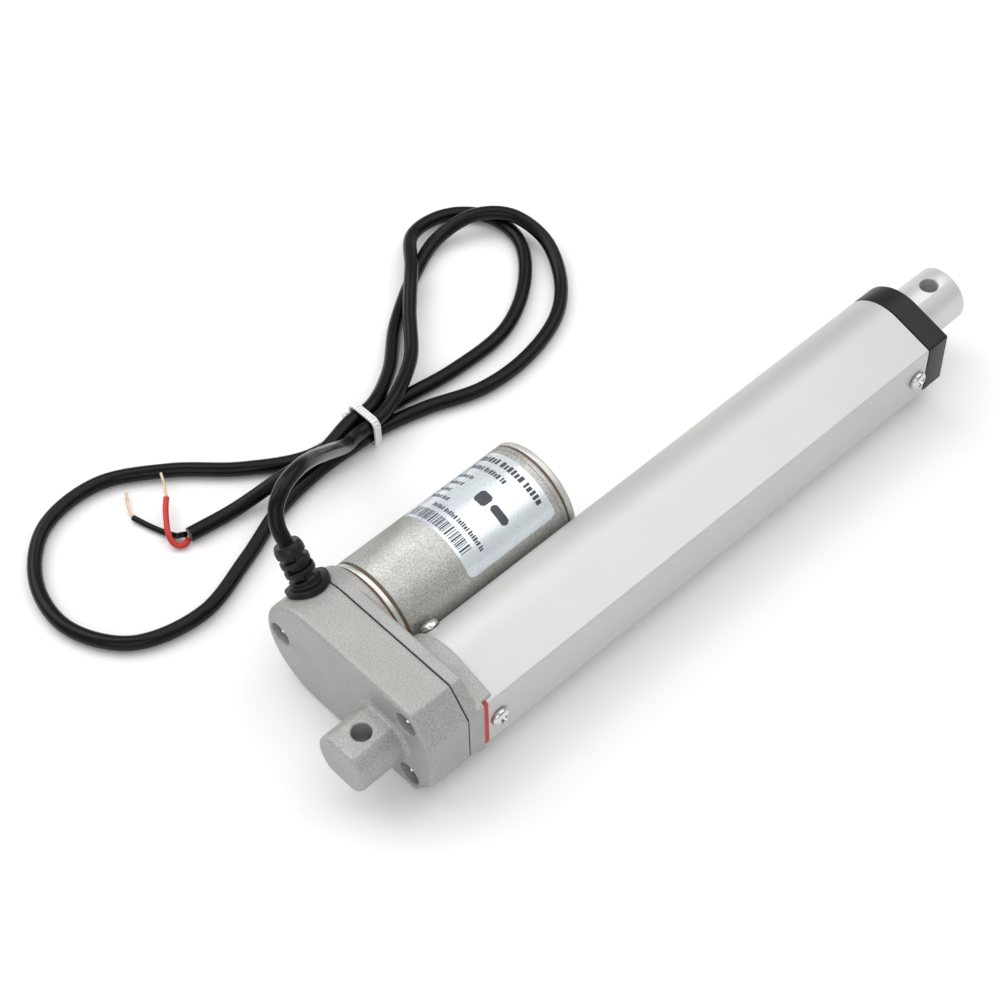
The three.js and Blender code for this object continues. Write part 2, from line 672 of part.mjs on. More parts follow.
add("cable_grommet", grommet(), blackPlastic, 0.55, 0);
add("power_cord", tubeAlong(cordRoute, cordRadius, 10, 80), 0x161616, 0.4, 0);
add("red_wire", tubeAlong(redRoute, wireRadius, 8, 12), 0xb01818, 0.45, 0);
add("black_wire", tubeAlong(blackRoute, wireRadius, 8, 10), 0x141414, 0.45, 0);
add("red_wire_tip", tubeAlong(redTip, 0.45, 8, 4), 0xb9865a, 0.35, 0.9);
add("black_wire_tip", tubeAlong(blackTip, 0.45, 8, 4), 0xb9865a, 0.35, 0.9);
add("cable_tie", cableTie(), 0xe8e8e4, 0.45, 0);

// ---------------------------------------------------------------- stand it on z = 0, centred
const cordNames = ["power_cord", "red_wire", "black_wire", "red_wire_tip", "black_wire_tip", "cable_tie"];

function place() {
  const bounds = new THREE.Box3();
  for (const mesh of group.children) {
    if (!cordNames.includes(mesh.name)) {
      bounds.expandByObject(mesh);
    }
  }
  const middle = bounds.getCenter(new THREE.Vector3());
  for (const mesh of group.children) {
    mesh.geometry.translate(-middle.x, -middle.y, -bounds.min.z);
  }
}

place();

export default group;
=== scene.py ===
import json
import math

import bpy
from mathutils import Matrix, Vector


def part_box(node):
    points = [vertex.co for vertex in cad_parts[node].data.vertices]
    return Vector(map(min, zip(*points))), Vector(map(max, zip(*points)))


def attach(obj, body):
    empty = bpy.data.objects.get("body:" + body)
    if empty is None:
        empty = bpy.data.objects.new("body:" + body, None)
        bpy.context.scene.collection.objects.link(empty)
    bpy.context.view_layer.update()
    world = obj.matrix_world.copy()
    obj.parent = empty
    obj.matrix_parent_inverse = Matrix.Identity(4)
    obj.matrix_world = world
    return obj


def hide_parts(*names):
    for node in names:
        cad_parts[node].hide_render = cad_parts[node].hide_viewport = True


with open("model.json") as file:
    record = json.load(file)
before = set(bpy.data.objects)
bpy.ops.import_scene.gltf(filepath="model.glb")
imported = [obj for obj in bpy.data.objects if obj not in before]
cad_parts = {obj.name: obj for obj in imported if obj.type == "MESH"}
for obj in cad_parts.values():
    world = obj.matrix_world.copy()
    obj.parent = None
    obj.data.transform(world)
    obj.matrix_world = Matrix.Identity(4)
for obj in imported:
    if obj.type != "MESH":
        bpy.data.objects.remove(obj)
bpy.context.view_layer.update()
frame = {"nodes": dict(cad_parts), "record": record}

# ---------------------------------------------------------------- places, from the frame
MM = 0.001
CLEVIS_REACH = 9.0          # mm, from the rear cross hole to the rear end of the clevis

cover_low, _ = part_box("rear_cover")
rod_low, rod_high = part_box("push_rod")
can_low, can_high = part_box("motor_can")
PIN_X = cover_low.x + CLEVIS_REACH * MM
AXIS_Y = (rod_low.y + rod_high.y) / 2
AXIS_Z = (rod_low.z + rod_high.z) / 2


def at(x, y, z):
    """A place in mm from the rear cross hole and the rod axis, as metres in the frame."""
    return Vector((PIN_X + x * MM, AXIS_Y + y * MM, AXIS_Z + z * MM))


ROD_END = (rod_high.x - PIN_X) / MM
MOTOR_Y = ((can_low.y + can_high.y) / 2 - AXIS_Y) / MM
MOTOR_RADIUS = (can_high.z - can_low.z) / 2 / MM
FLOOR = -AXIS_Z / MM         # height of the surface below the rod axis
CASE_RADIUS = 20.0
COVER_REAR = 8.7
SPLIT = 24.5
HOUSING_FRONT = 29.0
LOBE_FRONT = 31.4
COLLAR_FRONT = 35.0
SHOULDER = 30.7
TUBE_SIDE = 19.55
TUBE_START = 32.5
TUBE_END = 232.0
CAP_FRONT = 241.6
CAN_END = 101.2
MOTOR_END = 104.3
PIN_RADIUS = 3.2
ROD_RADIUS = 10.0
PIN_SPACING = 255.0
CLEVIS_HALF_WIDTH = 8.5
CASE_WALL = 2.6
TUBE_WALL = 2.4
SPIGOT_INSET = 2.7           # from the tube's outside to the spigots inside it

# ---------------------------------------------------------------- camera
CAMERA_AZIMUTH = math.radians(47.49)
CAMERA_ELEVATION = math.radians(51.46)
CAMERA_ROLL = math.radians(-1.32)
CAMERA_DISTANCE = 751.39     # mm
CAMERA_TARGET = (93.04, 39.44, 0)
CAMERA_LENS = 84.88          # mm
CAMERA_SENSOR = 36           # mm


def make_camera():
    look = Vector((
        math.cos(CAMERA_ELEVATION) * math.cos(CAMERA_AZIMUTH),
        math.cos(CAMERA_ELEVATION) * math.sin(CAMERA_AZIMUTH),
        -math.sin(CAMERA_ELEVATION)))
    right = look.cross(Vector((0, 0, 1))).normalized()
    up = right.cross(look)
    turned_right = math.cos(CAMERA_ROLL) * right + math.sin(CAMERA_ROLL) * up
    turned_up = -math.sin(CAMERA_ROLL) * right + math.cos(CAMERA_ROLL) * up
    data = bpy.data.cameras.new("camera")
    data.lens = CAMERA_LENS
    data.sensor_width = CAMERA_SENSOR
    camera = bpy.data.objects.new("camera", data)
    bpy.context.scene.collection.objects.link(camera)
    rotation = Matrix((turned_right, turned_up, -look)).transposed().to_4x4()
    place = at(*CAMERA_TARGET) - look * CAMERA_DISTANCE * MM
    camera.matrix_world = Matrix.Translation(place) @ rotation
    bpy.context.scene.camera = camera


make_camera()


# ---------------------------------------------------------------- materials
def new_material(name):
    made = bpy.data.materials.new(name)
    made.use_nodes = True
    tree = made.node_tree
    return made, tree, tree.nodes["Principled BSDF"]


def noise(tree, scale, detail=4.0, stretch=(1, 1, 1), roughness=0.55):
    """Noise with about `scale` lumps a metre; stretch scales the three directions."""
    place = tree.nodes.new("ShaderNodeTexCoord")
    mapping = tree.nodes.new("ShaderNodeMapping")
    mapping.inputs["Scale"].default_value = stretch
    texture = tree.nodes.new("ShaderNodeTexNoise")
    texture.inputs["Scale"].default_value = scale
    texture.inputs["Detail"].default_value = detail
    texture.inputs["Roughness"].default_value = roughness
    tree.links.new(place.outputs["Object"], mapping.inputs["Vector"])
    tree.links.new(mapping.outputs["Vector"], texture.inputs["Vector"])
    return texture.outputs["Fac"]


def spread(tree, value, low, high, start=0.3, end=0.7):
    mapped = tree.nodes.new("ShaderNodeMapRange")
    mapped.inputs["From Min"].default_value = start
    mapped.inputs["From Max"].default_value = end
    mapped.inputs["To Min"].default_value = low
    mapped.inputs["To Max"].default_value = high
    tree.links.new(value, mapped.inputs["Value"])
    return mapped.outputs["Result"]


def mixed(tree, factor, first, second):
    mix = tree.nodes.new("ShaderNodeMix")
    mix.data_type = "RGBA"
    tree.links.new(factor, mix.inputs["Factor"])
    for socket, value in ((mix.inputs["A"], first), (mix.inputs["B"], second)):
        if isinstance(value, tuple):
            socket.default_value = (*value, 1.0)
        else:
            tree.links.new(value, socket)
    return mix.outputs["Result"]


def shade(colour, factor):
    return tuple(min(1.0, c * factor) for c in colour)


def edges(tree, start, end):
    """0 on flat faces, 1 on outer edges."""
    geometry = tree.nodes.new("ShaderNodeNewGeometry")
    return spread(tree, geometry.outputs["Pointiness"], 0, 1, start, end)


def surface(name, colour, metallic=0.0, roughness=0.5, vary=0.08, patch=70, grain=1500, bump=0.15,
            depth=0.05, stretch=(1, 1, 1), rough_spread=0.08, edge_highlight=None, edge_highlight_colour=None,
            speckle=0.0, tint=None, specular=0.5):
    """A finish: patches and fine grain in colour, uneven roughness, a fine bump, and where asked a painted
    highlight on the outer edges.
    """
    made, tree, shader = new_material(name)
    shader.inputs["Metallic"].default_value = metallic
    shader.inputs["Specular IOR Level"].default_value = specular
    patches = spread(tree, noise(tree, patch, 3), 0, 1)
    fine = noise(tree, grain, 5, stretch)
    low = tint or shade(colour, 1 - vary)
    high = shade(colour, 1 + vary)
    tone = mixed(tree, patches, low, high)
    if speckle:
        dark = mixed(tree, patches, shade(low, 1 - speckle), shade(high, 1 - speckle))
        light = mixed(tree, patches, shade(low, 1 + speckle), shade(high, 1 + speckle))
        tone = mixed(tree, spread(tree, fine, 0, 1, 0.42, 0.58), dark, light)
    rough = spread(tree, fine, roughness - rough_spread, roughness + rough_spread)
    # Painted highlight: the outer edges are mixed toward a lighter colour, standing in for light catching
    # the ridges.
    if edge_highlight:
        edge_highlight_mask = edges(tree, *edge_highlight)
        tone = mixed(tree, edge_highlight_mask, tone, edge_highlight_colour)
    tree.links.new(tone, shader.inputs["Base Color"])
    tree.links.new(rough, shader.inputs["Roughness"])
    bumps = tree.nodes.new("ShaderNodeBump")
    bumps.inputs["Strength"].default_value = bump
    bumps.inputs["Distance"].default_value = depth * MM
    tree.links.new(fine, bumps.inputs["Height"])
    tree.links.new(bumps.outputs["Normal"], shader.inputs["Normal"])
    return made


ALONG_X = (0.02, 1, 1)       # grain drawn out along the rod
AROUND_X = (1, 0.03, 0.03)   # turning marks around the rod

# The cast paint's outer edges carry a painted highlight, a lighter colour on the ridges.
CAST = surface("cast_paint", (0.37, 0.37, 0.357), 0.3, 0.46, 0.05, 90, 2200, 0.6, 0.12, speckle=0.16,
               edge_highlight=(0.56, 0.68), edge_highlight_colour=(0.58, 0.58, 0.57))
TUBE = surface("anodised_tube", (0.58, 0.58, 0.57), 0.6, 0.50, 0.02, 30, 1600, 0.05, 0.02, ALONG_X, 0.02)
ROD = surface("rod_aluminium", (0.66, 0.66, 0.645), 0.6, 0.44, 0.02, 40, 5200, 0.10, 0.015, AROUND_X, 0.05)
CHROME = surface("plated_steel", (0.66, 0.66, 0.65), 1.0, 0.16, 0.04, 300, 3000, 0.06, 0.02,
                 rough_spread=0.05)
GROUND = surface("ground_steel", (0.58, 0.58, 0.57), 1.0, 0.28, 0.05, 150, 3500, 0.10, 0.02, AROUND_X)
GEAR = surface("gear_steel", (0.42, 0.42, 0.41), 1.0, 0.38, 0.08, 200, 2500, 0.15, 0.03)
BLACK = surface("black_plastic", (0.006, 0.006, 0.0065), 0.0, 0.36, 0.25, 120, 3200, 0.14, 0.04,
                rough_spread=0.06, specular=0.30)
RUBBER = surface("black_rubber", (0.014, 0.014, 0.014), 0.0, 0.62, 0.2, 200, 2500, 0.3, 0.05, specular=0.3)
RED_SEAL = surface("red_gasket", (0.50, 0.035, 0.025), 0.0, 0.55, 0.12, 200, 2500, 0.3, 0.05)
BROWN_SEAL = surface("brown_gasket", (0.20, 0.07, 0.045), 0.0, 0.6, 0.15, 200, 2500, 0.3, 0.05)
ACETAL = surface("acetal", (0.80, 0.79, 0.74), 0.0, 0.42, 0.04, 120, 2500, 0.10, 0.03)
BRASS = surface("brass", (0.62, 0.47, 0.20), 1.0, 0.28, 0.06, 150, 3000, 0.12, 0.02, AROUND_X)
BRONZE = surface("bronze", (0.44, 0.28, 0.14), 0.9, 0.45, 0.1, 200, 3500, 0.35, 0.04)
ZINC = surface("motor_zinc", (0.46, 0.46, 0.44), 0.75, 0.42, 0.05, 80, 2200, 0.5, 0.09, speckle=0.22)
ZINC_END = surface("motor_end", (0.60, 0.60, 0.575), 0.6, 0.40, 0.05, 90, 2600, 0.25, 0.05, speckle=0.1)
FACE = surface("motor_face", (0.63, 0.65, 0.61), 0.9, 0.34, 0.05, 120, 3200, 0.15, 0.03, AROUND_X)
RUST = surface("motor_groove", (0.13, 0.085, 0.055), 0.2, 0.7, 0.25, 300, 2600, 0.4, 0.08)
FERRITE = surface("ferrite", (0.045, 0.045, 0.045), 0.1, 0.6, 0.2, 150, 2500, 0.3, 0.05)
LAMINATION = surface("laminations", (0.24, 0.14, 0.08), 0.6, 0.45, 0.12, 200, 5000, 0.4, 0.06,
                     (1, 0.05, 0.05))
COPPER = surface("copper", (0.70, 0.38, 0.22), 1.0, 0.32, 0.1, 500, 4000, 0.15, 0.02)
TINNED = surface("tinned_copper", (0.66, 0.50, 0.38), 1.0, 0.30, 0.25, 700, 4000, 0.2, 0.03)
CARBON = surface("carbon", (0.03, 0.03, 0.03), 0.0, 0.7, 0.2, 300, 2500, 0.3, 0.05)
BOARD = surface("board", (0.30, 0.20, 0.10), 0.0, 0.6, 0.15, 200, 2500, 0.25, 0.04)
CIRCUIT = surface("circuit_board", (0.03, 0.16, 0.07), 0.0, 0.4, 0.15, 200, 2500, 0.15, 0.03)
PLUNGER = surface("plunger", (0.50, 0.08, 0.05), 0.0, 0.4, 0.1, 300, 3000, 0.15, 0.02)
PVC = surface("black_pvc", (0.004, 0.004, 0.0045), 0.0, 0.23, 0.25, 150, 1800, 0.06, 0.04,
              rough_spread=0.04, specular=0.18)
RED_PVC = surface("red_pvc", (0.52, 0.018, 0.014), 0.0, 0.36, 0.1, 200, 2000, 0.15, 0.04)
NYLON = surface("white_nylon", (0.80, 0.80, 0.785), 0.0, 0.42, 0.04, 200, 2500, 0.12, 0.03)
FOIL = surface("label_foil", (0.74, 0.81, 0.82), 0.55, 0.30, 0.03, 75, 1800, 0.05, 0.02, rough_spread=0.07,
               tint=(0.70, 0.72, 0.80))
INK = surface("label_ink", (0.05, 0.055, 0.065), 0.1, 0.5, 0.15, 300, 3000, 0.05, 0.01)

SLOT_FINISH = {
    "cast_paint": CAST, "black_gasket": RUBBER, "red_gasket": RED_SEAL, "brown_gasket": BROWN_SEAL,
    "plated_steel": CHROME, "anodised_tube": TUBE, "rod_aluminium": ROD, "black_plastic": BLACK,
    "switch_plastic": BLACK, "plunger_plastic": PLUNGER, "circuit_board": CIRCUIT, "acetal": ACETAL,
    "gear_steel": GEAR, "bright_steel": GROUND, "brass": BRASS, "bronze": BRONZE, "motor_zinc": ZINC,
    "motor_face": FACE, "ferrite": FERRITE, "laminations": LAMINATION, "copper": COPPER,
    "carbon": CARBON, "board": BOARD, "black_pvc": PVC, "red_pvc": RED_PVC, "white_nylon": NYLON,
}


# ---------------------------------------------------------------- mesh helpers, all in mm
def finish_piece(piece, finish, body, replaced):
    piece.data.materials.clear()
    piece.data.materials.append(finish)
    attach(piece, body)
    if replaced:
        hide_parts(*replaced)
    return piece


def mesh_piece(name, points, faces, smooth_below=35):
    mesh = bpy.data.meshes.new(name)
    mesh.from_pydata([at(*p) for p in points], [], faces)
    mesh.update()
    piece = bpy.data.objects.new(name, mesh)
    bpy.context.scene.collection.objects.link(piece)
    soften(piece, smooth_below)
    return piece


def soften(piece, degrees):
    """Smooth shading, with a crisp edge wherever two faces meet at more than that angle."""
    mesh = piece.data
    mesh.polygons.foreach_set("use_smooth", [True] * len(mesh.polygons))
    mesh.set_sharp_from_angle(angle=math.radians(degrees))


def evaluate(piece):
    """Puts the result of the piece's modifiers in its mesh."""
    bpy.context.view_layer.update()
    graph = bpy.context.evaluated_depsgraph_get()
    mesh = bpy.data.meshes.new_from_object(piece.evaluated_get(graph))
    piece.modifiers.clear()
    piece.data = mesh
    return piece


def combine(piece, others, operation):
    for other in others:
        step = piece.modifiers.new("combine", "BOOLEAN")
        step.operation = operation
        step.object = other
        step.solver = "MANIFOLD"
        evaluate(piece)
        bpy.data.objects.remove(other)
    return piece


def cut(piece, *cutters):
    return combine(piece, cutters, "DIFFERENCE")


def join(piece, *others):
    return combine(piece, others, "UNION")


def cast(piece, voxel, rounds):
    """Remeshes finely and relaxes the surface, which rounds every edge as a casting's are."""
    remesh = piece.modifiers.new("remesh", "REMESH")
    remesh.mode = "VOXEL"
    remesh.voxel_size = voxel * MM
    relax = piece.modifiers.new("relax", "SMOOTH")
    relax.factor = 0.5
    relax.iterations = rounds
    evaluate(piece)
    soften(piece, 180)
    return piece


def outline(corners, step=6):
    """Rounded corners (y, z, radius), counter-clockwise, as points with their outward normals."""
    points = []
    for i, (y, z, radius) in enumerate(corners):
        before = corners[i - 1]
        after = corners[(i + 1) % len(corners)]
        first = math.atan2(z - before[1], y - before[0]) - math.pi / 2
        second = math.atan2(after[1] - z, after[0] - y) - math.pi / 2
        turn = (second - first) % (2 * math.pi)
        middle = first + turn / 2
        reach = radius / math.cos(turn / 2)
        centre = (y - reach * math.cos(middle), z - reach * math.sin(middle))
        count = max(2, math.ceil(math.degrees(turn) / step))
        for k in range(count + 1):
            angle = first + turn * k / count
            normal = (math.cos(angle), math.sin(angle))
            points.append((centre[0] + radius * normal[0], centre[1] + radius * normal[1], normal))
    return points


def loft(name, points, stations, smooth_below=35):
    """The outline pushed along X through stations (x, inset)."""
    count = len(points)
    corners = []
    for x, inset in stations:
        corners += [(x, y - normal[0] * inset, z - normal[1] * inset) for y, z, normal in points]
    faces = [tuple(reversed(range(count)))]
    for ring in range(len(stations) - 1):
        for k in range(count):
            a = ring * count + k
            b = ring * count + (k + 1) % count
            faces.append((a, b, b + count, a + count))
    last = (len(stations) - 1) * count
    faces.append(tuple(range(last, last + count)))
    return mesh_piece(name, corners, faces, smooth_below)


def rounding(x, edge, side, steps=4):
    """Stations of a rounded end: side 1 starts a loft at x, side -1 ends it there."""
    made = []
    for k in range(steps + 1):
        angle = math.pi / 2 * k / steps
        made.append((x + side * edge * (1 - math.cos(angle)), edge * (1 - math.sin(angle))))
    return made if side == 1 else made[::-1]


def turned(name, profile, start, direction, sides=64, smooth_below=35):
    """A profile of (radius, distance) pairs turned about the line from start along direction."""
    axis = Vector(direction).normalized()
    across = axis.orthogonal().normalized()
    other = axis.cross(across)
    points, faces, rings = [], [], []
    for radius, distance in profile:
        middle = Vector(start) + axis * distance
        if radius == 0:
            rings.append([len(points)] * sides)
            points.append(tuple(middle))
            continue
        rings.append([len(points) + k for k in range(sides)])
        for k in range(sides):
            angle = 2 * math.pi * k / sides
            points.append(tuple(middle + (across * math.cos(angle) + other * math.sin(angle)) * radius))
    closed = rings if profile[0][0] == 0 else rings + [rings[0]]
    for first, second in zip(closed, closed[1:]):
        for k in range(sides):
            n = (k + 1) % sides
            corner = [first[k], first[n], second[n], second[k]]
            face = [c for i, c in enumerate(corner) if c not in corner[:i]]
            if len(face) > 2:
                faces.append(tuple(face))
    return mesh_piece(name, points, faces, smooth_below)


def along_x(name, profile, y=0.0, z=0.0, sides=64, smooth_below=35):
    return turned(name, profile, (0, y, z), (1, 0, 0), sides, smooth_below)


def bar(name, radius, start, end, y=0.0, z=0.0, sides=48):
    return along_x(name, [(0, start), (radius, start), (radius, end), (0, end)], y, z, sides)


def pin(name, radius, start, direction, length, sides=48):
    return turned(name, [(0, 0), (radius, 0), (radius, length), (0, length)], start, direction, sides)


BOX_FACES = [(0, 1, 3, 2), (4, 6, 7, 5), (0, 4, 5, 1), (2, 3, 7, 6), (0, 2, 6, 4), (1, 5, 7, 3)]


def block(name, low, high):
    points = [(x, y, z) for x in (low[0], high[0]) for y in (low[1], high[1]) for z in (low[2], high[2])]
    return mesh_piece(name, points, BOX_FACES)


def bevelled(piece, width, segments=3, angle=35):
    step = piece.modifiers.new("bevel", "BEVEL")
    step.width = width * MM
    step.segments = segments
    step.limit_method = "ANGLE"
    step.angle_limit = math.radians(angle)
    evaluate(piece)
    soften(piece, angle)
    return piece


# ---------------------------------------------------------------- outlines
CASE = outline([
    (-12, -20, 1.8), (MOTOR_Y + 20, -20, 20), (MOTOR_Y + 20, 20, 20), (-12, 20, 1.8),
    (-19.8, 9.5, 1.7), (-19.8, -9.5, 1.7)])

TUBE_RADIUS = 15.6


def tube_outline(offset, rounded):
    radius = TUBE_RADIUS + offset
    side = -TUBE_SIDE - offset
    half = 10.1 + offset * 0.5
    tangent = math.atan2(half, side) - math.acos(radius / math.hypot(side, half))
    reach = radius * (1 - math.cos(tangent)) / math.sin(tangent)
    return outline([
        (radius, -reach, radius), (radius, reach, radius),
        (side, half, rounded), (side, -half, rounded)], 4)


COVER_SCREWS = [(48.3, 0), (-9.5, 13.2), (-9.5, -13.2)]
SCREW_SIDE_X = 36.5
SCREW_ROUND_X = 39.4
SCREW_FRONT_X = 227.0
ROUND_ANGLE = math.radians(33)
GROMMET_X = 20.0
GROMMET_ANGLE = math.radians(55)
GROMMET_OUT = (0, math.cos(GROMMET_ANGLE), math.sin(GROMMET_ANGLE))


def on_grommet(distance):
    return (GROMMET_X, MOTOR_Y + GROMMET_OUT[1] * distance, GROMMET_OUT[2] * distance)


# ---------------------------------------------------------------- gear case
def cavity(start, end):
    inner = loft("cavity", CASE, [(start, CASE_WALL), (end, CASE_WALL)])
    for y, z in COVER_SCREWS:
        inner = cut(inner, bar("column", 4, start - 1, end + 1, y, z))
    return inner


def rear_cover():
    face = SPLIT - 0.2
    body = loft("rear_cover_cast", CASE, rounding(COVER_REAR, 1.4, 1) + [(face, 0)])
    body = cut(body, cavity(14.0, face + 1))
    for y, z in COVER_SCREWS:
        body = cut(body, bar("seat", 4.1, COVER_REAR - 2, 12.6, y, z),
                   bar("hole", 1.8, 8, face + 1, y, z))
    # A short relief line beside the screw at the motor end.
    body = cut(body, block("relief", (COVER_REAR - 1, 41.2, -0.5), (COVER_REAR + 0.5, 43.6, 0.5)))
    half_turn = math.degrees(math.asin(CLEVIS_HALF_WIDTH / ROD_RADIUS))
    flats = []
    steps = 12
    for centre in (0, 180):
        for k in range(steps + 1):
            angle = math.radians(centre - half_turn + 2 * half_turn * k / steps)
            flats.append((ROD_RADIUS * math.cos(angle), ROD_RADIUS * math.sin(angle),
                          (math.cos(angle), math.sin(angle))))
        sign = 1 if centre == 0 else -1
        y = sign * ROD_RADIUS * math.cos(math.radians(half_turn))
        flats.append((y - sign * 0.3, sign * CLEVIS_HALF_WIDTH, (0, sign)))
        flats.append((sign * 0.3 - y, sign * CLEVIS_HALF_WIDTH, (0, sign)))
    base = [(COVER_REAR - 1.6, 0), (COVER_REAR - 0.9, -0.25), (COVER_REAR - 0.3, -0.75), (COVER_REAR, -1.5),
            (12.0, -1.5)]
    clevis = loft("clevis", flats, rounding(-CLEVIS_REACH, 1.2, 1) + base)
    clevis = cut(clevis, pin("pin_hole", PIN_RADIUS, (0, 0, -20), (0, 0, 1), 40, 64))
    body = join(body, clevis)
    body = cast(body, 0.34, 4)
    return finish_piece(body, CAST, "housing", ["rear_cover"])


def case_gasket():
    seal = loft("case_gasket_seal", CASE, [(SPLIT - 0.15, 0.25), (SPLIT + 0.15, 0.25)])
    seal = cut(seal, loft("inside", CASE, [(SPLIT - 1, CASE_WALL), (SPLIT + 1, CASE_WALL)]))
    return finish_piece(seal, RUBBER, "housing", ["case_gasket"])


def front_housing():
    face = SPLIT + 0.2
    body = loft("front_housing_cast", CASE, [(face, 0)] + rounding(HOUSING_FRONT, 0.8, -1))
    circle = outline([
        (MOTOR_Y + 20, -20, 20), (MOTOR_Y + 20, 20, 20), (MOTOR_Y - 20, 20, 20), (MOTOR_Y - 20, -20, 20)])
    lobe = loft("lobe", circle, [(HOUSING_FRONT - 3, 0)] + rounding(LOBE_FRONT, 0.6, -1))
    collar = loft("collar", tube_outline(1.3, 1.6),
                  [(HOUSING_FRONT - 1, 0)] + rounding(COLLAR_FRONT, 0.5, -1))
    body = join(body, lobe, collar)
    body = cut(body,
               loft("pocket", tube_outline(0.25, 0.9), [(SHOULDER, 0), (COLLAR_FRONT + 1, 0)]),
               block("open_side", (SHOULDER, -40, -30), (COLLAR_FRONT + 1, -18.35, 30)),
               block("side_plane", (face - 1, -40, -30), (COLLAR_FRONT + 1, -19.8, 30)))
    body = join(body, loft("spigot", tube_outline(-SPIGOT_INSET, 1.2), [(HOUSING_FRONT - 1, 0), (43, 0)]))
    body = cut(body,
               bar("motor_seat", MOTOR_RADIUS + 0.4, LOBE_FRONT, 60, MOTOR_Y, 0, 96),
               bar("bearing_seat", 11.25, HOUSING_FRONT + 0.2, 44),
               bar("screw_way", 6.3, face - 1, 40),
               bar("shaft_way", 6.2, face - 1, LOBE_FRONT + 1, MOTOR_Y),
               bar("pin_way", 2.3, face - 1, 28.6, 18.5))
    for angle, x in ((math.pi, SCREW_SIDE_X), (ROUND_ANGLE, SCREW_ROUND_X), (-ROUND_ANGLE, SCREW_ROUND_X)):
        out = (0, math.cos(angle), math.sin(angle))
        body = cut(body, pin("thread", 1.8, (x, out[1] * 10, out[2] * 10), out, 14, 24))
    body = cast(body, 0.32, 3)
    return finish_piece(body, CAST, "housing", ["front_housing"])


# ---------------------------------------------------------------- screws
def cross_recess(seat, out, reach, width, depth):
    """The cutter of a cross-head recess, centred on the head's top."""
    axis = Vector(out).normalized()
    across = axis.orthogonal().normalized()
    other = axis.cross(across)
    top = Vector(seat)
    blades = []
    for first, second in ((across, other), (other, across)):
        points = []
        for level, size in ((0.3, 1.0), (-depth, 0.42)):
            for a, b in ((-1, -1), (1, -1), (1, 1), (-1, 1)):
                corner = (top + axis * level + first * a * reach * size
                          + second * b * width * (0.6 + 0.4 * size))
                points.append(tuple(corner))
        faces = [(3, 2, 1, 0), (4, 5, 6, 7), (0, 1, 5, 4), (1, 2, 6, 5), (2, 3, 7, 6), (3, 0, 4, 7)]
        blades.append(mesh_piece("blade", points, faces))
        turn_out(blades[-1])
    return join(blades[0], blades[1])


def turn_out(piece):
    """Makes a closed mesh's faces look outwards."""
    mesh = piece.data
    volume = 0.0
    for face in mesh.polygons:
        corners = [mesh.vertices[i].co for i in face.vertices]
        for k in range(1, len(corners) - 1):
            volume += corners[0].dot(corners[k].cross(corners[k + 1]))
    if volume < 0:
        mesh.flip_normals()


def pan_screw(node, seat, out, length):
    axis = Vector(out)
    start = Vector(seat) - axis * length
    head = length
    radius = 3.3
    edge = head + 0.75
    profile = [(0, 0), (1.2, 0), (1.5, 0.3), (1.5, head), (3.15, head), (radius, head + 0.15),
               (radius, edge)]
    for k in range(1, 8):
        angle = math.pi / 2 * k / 7
        profile.append((radius * math.cos(angle) if k < 7 else 0, edge + 1.55 * math.sin(angle)))
    screw = turned(node + "_head", profile, tuple(start), out, 48, 30)
    turn_out(screw)
    top = Vector(seat) + axis * 2.3
    screw = cut(screw, cross_recess(tuple(top), out, 1.95, 0.5, 1.5))
    soften(screw, 30)
    return finish_piece(screw, CHROME, "housing", [node])


def cover_screw(node, y, z, end):
    top = 10.3
    radius = 3.2
    profile = [(0, top)]
    for k in range(1, 7):
        angle = math.pi / 2 * k / 6
        profile.append((radius * math.sin(angle), top + 0.9 * (1 - math.cos(angle))))
    profile += [(radius, 12.3), (1.5, 12.4), (1.5, end - 0.4), (1.1, end), (0, end)]
    screw = along_x(node + "_head", profile, y, z, 48, 30)
    turn_out(screw)
    screw = cut(screw, cross_recess((top, y, z), (-1, 0, 0), 1.9, 0.48, 1.4))
    soften(screw, 30)
    return finish_piece(screw, CHROME, "housing", [node])


# ---------------------------------------------------------------- tube, cap, rod
def outer_tube():
    body = loft("outer_tube_extrusion", tube_outline(0, 0.9),
                rounding(TUBE_START, 0.35, 1) + rounding(TUBE_END, 0.35, -1))
    body = cut(body, loft("inside", tube_outline(-TUBE_WALL, 0.8),
                          [(TUBE_START - 1, 0), (TUBE_END + 1, 0)]))
    soften(body, 25)
    return finish_piece(body, TUBE, "housing", ["outer_tube"])


def tube_gasket():
    seal = loft("tube_gasket_seal", tube_outline(-0.05, 0.9), [(SHOULDER + 0.1, 0), (TUBE_START - 0.1, 0)])
    seal = cut(seal, loft("inside", tube_outline(-TUBE_WALL, 0.8),
                          [(SHOULDER - 1, 0), (TUBE_START + 1, 0)]))
    return finish_piece(seal, RED_SEAL, "housing", ["tube_gasket"])


def front_cap():
    body = loft("front_cap_moulding", tube_outline(0, 0.9),
                rounding(TUBE_END + 0.3, 0.25, 1) + rounding(CAP_FRONT, 0.7, -1))
    body = join(body, loft("spigot", tube_outline(-SPIGOT_INSET, 0.8), [(222, 0), (TUBE_END + 2, 0)]))
    body = cut(body, bar("way", ROD_RADIUS + 0.35, 221, CAP_FRONT + 1, sides=96),
               bar("bush_seat", 12.1, 221, 233, sides=96),
               bar("wiper_seat", 12.4, 238.5, CAP_FRONT + 1, sides=96))
    soften(body, 30)
    return finish_piece(body, BLACK, "housing", ["front_cap"])


def rod_wiper():
    profile = [(10.1, 240.9), (10.06, 239.9), (10.7, 238.9), (12.2, 238.9), (12.3, 240.7), (11.6, 240.9),
               (11.2, 240.4), (10.7, 240.9)]
    wiper = along_x("rod_wiper_lip", profile, sides=96)
    turn_out(wiper)
    return finish_piece(wiper, RUBBER, "housing", ["rod_wiper"])


